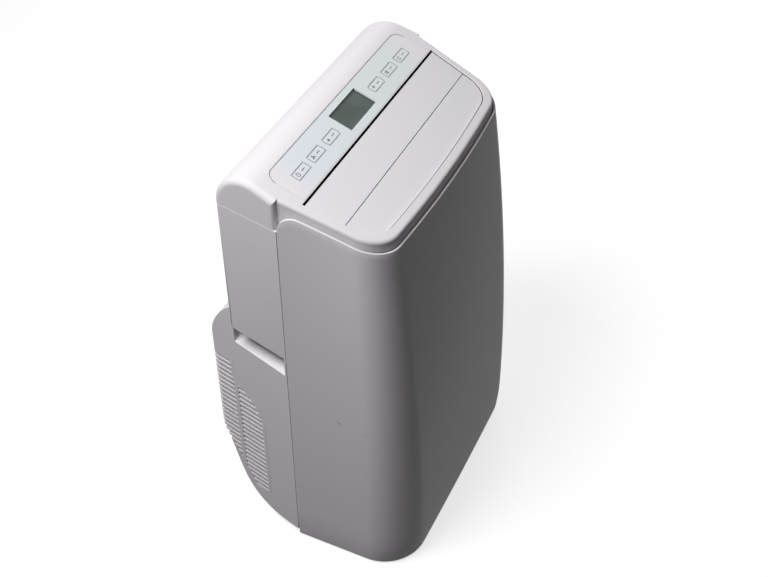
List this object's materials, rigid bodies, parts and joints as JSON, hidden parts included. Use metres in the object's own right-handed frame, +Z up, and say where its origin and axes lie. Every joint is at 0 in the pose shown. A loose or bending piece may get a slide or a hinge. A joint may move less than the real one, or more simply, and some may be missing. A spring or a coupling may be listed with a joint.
{
  "type": "portable air conditioner",
  "caption": "Upright portable air conditioner with a sloping control top, louvred outlet, wrap-around front shell, grilled rear bulge with hose port, and casters.",
  "frame": {"origin": "on the floor under the middle of the body", "axes": "+X to the right seen from the front, +Y to the rear, +Z up"},
  "size_m": [0.4586, 0.3397, 0.6982],
  "materials": {
    "shell": "satin moulded",
    "louvre": "satin moulded",
    "film": "smooth printed film",
    "window": "clear",
    "display": "dark glass",
    "board": "circuit board",
    "inner_plastic": "moulded",
    "collar": "moulded",
    "filter_net": "net",
    "rubber": "matt",
    "caster_plastic": "moulded",
    "steel": "bright",
    "motor": "galvanised",
    "fins": "bare",
    "black_steel": "painted",
    "copper": "bare"
  },
  "bodies": {
    "cabinet": {"front_panel": "shell", "top_cover": "shell", "rear_upper_cover": "shell", "rear_lower_housing": "shell", "left_intake_grille": "shell", "right_intake_grille": "shell", "control_panel": "film", "display_window": "window", "display_module": "display", "control_board": "board", "outlet_duct": "inner_plastic", "mid_deck": "inner_plastic", "base_tray": "inner_plastic", "evaporator_tray": "inner_plastic", "evaporator_scroll": "inner_plastic", "condenser_scroll": "inner_plastic", "electrical_box": "inner_plastic", "drain_spout": "inner_plastic", "exhaust_collar": "collar", "cord_gland": "rubber", "compressor_feet": "rubber", "louvre_motor": "motor", "evaporator_motor": "motor", "condenser_motor": "motor", "evaporator_coil": "fins", "condenser_coil_left": "fins", "condenser_coil_right": "fins", "compressor": "black_steel", "accumulator": "black_steel", "discharge_pipe": "copper", "suction_pipe": "copper"},
    "rear_louvre": {"rear_louvre": "louvre"},
    "front_louvre": {"front_louvre": "louvre"},
    "louvre_link": {"louvre_link": "inner_plastic"},
    "evaporator_impeller": {"evaporator_impeller": "inner_plastic"},
    "condenser_impeller": {"condenser_impeller": "inner_plastic"},
    "filter_door": {"filter_grille": "shell", "air_filter": "filter_net"},
    "drain_plug": {"drain_plug": "rubber"},
    "key_timer": {"key_timer": "film"},
    "key_fan": {"key_fan": "film"},
    "key_up": {"key_up": "film"},
    "key_down": {"key_down": "film"},
    "key_mode": {"key_mode": "film"},
    "key_power": {"key_power": "film"},
    "caster_fork_front_left": {"caster_fork_front_left": "caster_plastic", "caster_axle_front_left": "steel"},
    "caster_wheel_front_left": {"caster_wheel_front_left": "caster_plastic"},
    "caster_fork_front_right": {"caster_fork_front_right": "caster_plastic", "caster_axle_front_right": "steel"},
    "caster_wheel_front_right": {"caster_wheel_front_right": "caster_plastic"},
    "caster_fork_rear_left": {"caster_fork_rear_left": "caster_plastic", "caster_axle_rear_left": "steel"},
    "caster_wheel_rear_left": {"caster_wheel_rear_left": "caster_plastic"},
    "caster_fork_rear_right": {"caster_fork_rear_right": "caster_plastic", "caster_axle_rear_right": "steel"},
    "caster_wheel_rear_right": {"caster_wheel_rear_right": "caster_plastic"}
  },
  "joints": [
    {"name": "rear_louvre_tilt", "type": "hinge", "parent": "cabinet", "child": "rear_louvre", "pos_m": [0, -0.00622, 0.65225], "axis": [-1, 0, 0], "range_deg": [0, 60]},
    {"name": "front_louvre_tilt", "type": "hinge", "parent": "cabinet", "child": "front_louvre", "pos_m": [0, -0.05988, 0.63272], "axis": [-1, 0, 0], "range_deg": [0, 60]},
    {"name": "louvre_link_swing", "type": "hinge", "parent": "rear_louvre", "child": "louvre_link", "pos_m": [0.12, -0.00075, 0.63722], "axis": [-1, 0, 0], "range_deg": [-60, 0]},
    {"name": "evaporator_impeller_spin", "type": "hinge", "parent": "cabinet", "child": "evaporator_impeller", "pos_m": [0, 0.02, 0.52], "axis": [0, 1, 0], "continuous": true},
    {"name": "condenser_impeller_spin", "type": "hinge", "parent": "cabinet", "child": "condenser_impeller", "pos_m": [0, 0.028, 0.196], "axis": [1, 0, 0], "continuous": true},
    {"name": "filter_door_tilt", "type": "hinge", "parent": "cabinet", "child": "filter_door", "pos_m": [0, 0.12, 0.4738], "axis": [-1, 0, 0], "range_deg": [0, 45]},
    {"name": "drain_plug_pull", "type": "slide", "parent": "cabinet", "child": "drain_plug", "axis": [0, 1, 0], "range_m": [0, 0.03]},
    {"name": "key_timer_press", "type": "slide", "parent": "cabinet", "child": "key_timer", "axis": [0, 0.342, -0.9397], "range_m": [0, 0.0006], "stiffness_N_per_m": 2000},
    {"name": "key_fan_press", "type": "slide", "parent": "cabinet", "child": "key_fan", "axis": [0, 0.342, -0.9397], "range_m": [0, 0.0006], "stiffness_N_per_m": 2000},
    {"name": "key_up_press", "type": "slide", "parent": "cabinet", "child": "key_up", "axis": [0, 0.342, -0.9397], "range_m": [0, 0.0006], "stiffness_N_per_m": 2000},
    {"name": "key_down_press", "type": "slide", "parent": "cabinet", "child": "key_down", "axis": [0, 0.342, -0.9397], "range_m": [0, 0.0006], "stiffness_N_per_m": 2000},
    {"name": "key_mode_press", "type": "slide", "parent": "cabinet", "child": "key_mode", "axis": [0, 0.342, -0.9397], "range_m": [0, 0.0006], "stiffness_N_per_m": 2000},
    {"name": "key_power_press", "type": "slide", "parent": "cabinet", "child": "key_power", "axis": [0, 0.342, -0.9397], "range_m": [0, 0.0006], "stiffness_N_per_m": 2000},
    {"name": "caster_swivel_front_left", "type": "hinge", "parent": "cabinet", "child": "caster_fork_front_left", "pos_m": [-0.165, -0.115, 0.034], "axis": [0, 0, 1], "continuous": true},
    {"name": "caster_roll_front_left", "type": "hinge", "parent": "caster_fork_front_left", "child": "caster_wheel_front_left", "pos_m": [-0.165, -0.103, 0.015], "axis": [1, 0, 0], "continuous": true},
    {"name": "caster_swivel_front_right", "type": "hinge", "parent": "cabinet", "child": "caster_fork_front_right", "pos_m": [0.165, -0.115, 0.034], "axis": [0, 0, 1], "continuous": true},
    {"name": "caster_roll_front_right", "type": "hinge", "parent": "caster_fork_front_right", "child": "caster_wheel_front_right", "pos_m": [0.165, -0.103, 0.015], "axis": [1, 0, 0], "continuous": true},
    {"name": "caster_swivel_rear_left", "type": "hinge", "parent": "cabinet", "child": "caster_fork_rear_left", "pos_m": [-0.165, 0.052, 0.034], "axis": [0, 0, 1], "continuous": true},
    {"name": "caster_roll_rear_left", "type": "hinge", "parent": "caster_fork_rear_left", "child": "caster_wheel_rear_left", "pos_m": [-0.165, 0.064, 0.015], "axis": [1, 0, 0], "continuous": true},
    {"name": "caster_swivel_rear_right", "type": "hinge", "parent": "cabinet", "child": "caster_fork_rear_right", "pos_m": [0.165, 0.052, 0.034], "axis": [0, 0, 1], "continuous": true},
    {"name": "caster_roll_rear_right", "type": "hinge", "parent": "caster_fork_rear_right", "child": "caster_wheel_rear_right", "pos_m": [0.165, 0.064, 0.015], "axis": [1, 0, 0], "continuous": true}
  ],
  "couplings": [
    {"joint": "front_louvre_tilt", "follows": "rear_louvre_tilt", "ratio": 1},
    {"joint": "louvre_link_swing", "follows": "rear_louvre_tilt", "ratio": -1}
  ]
}
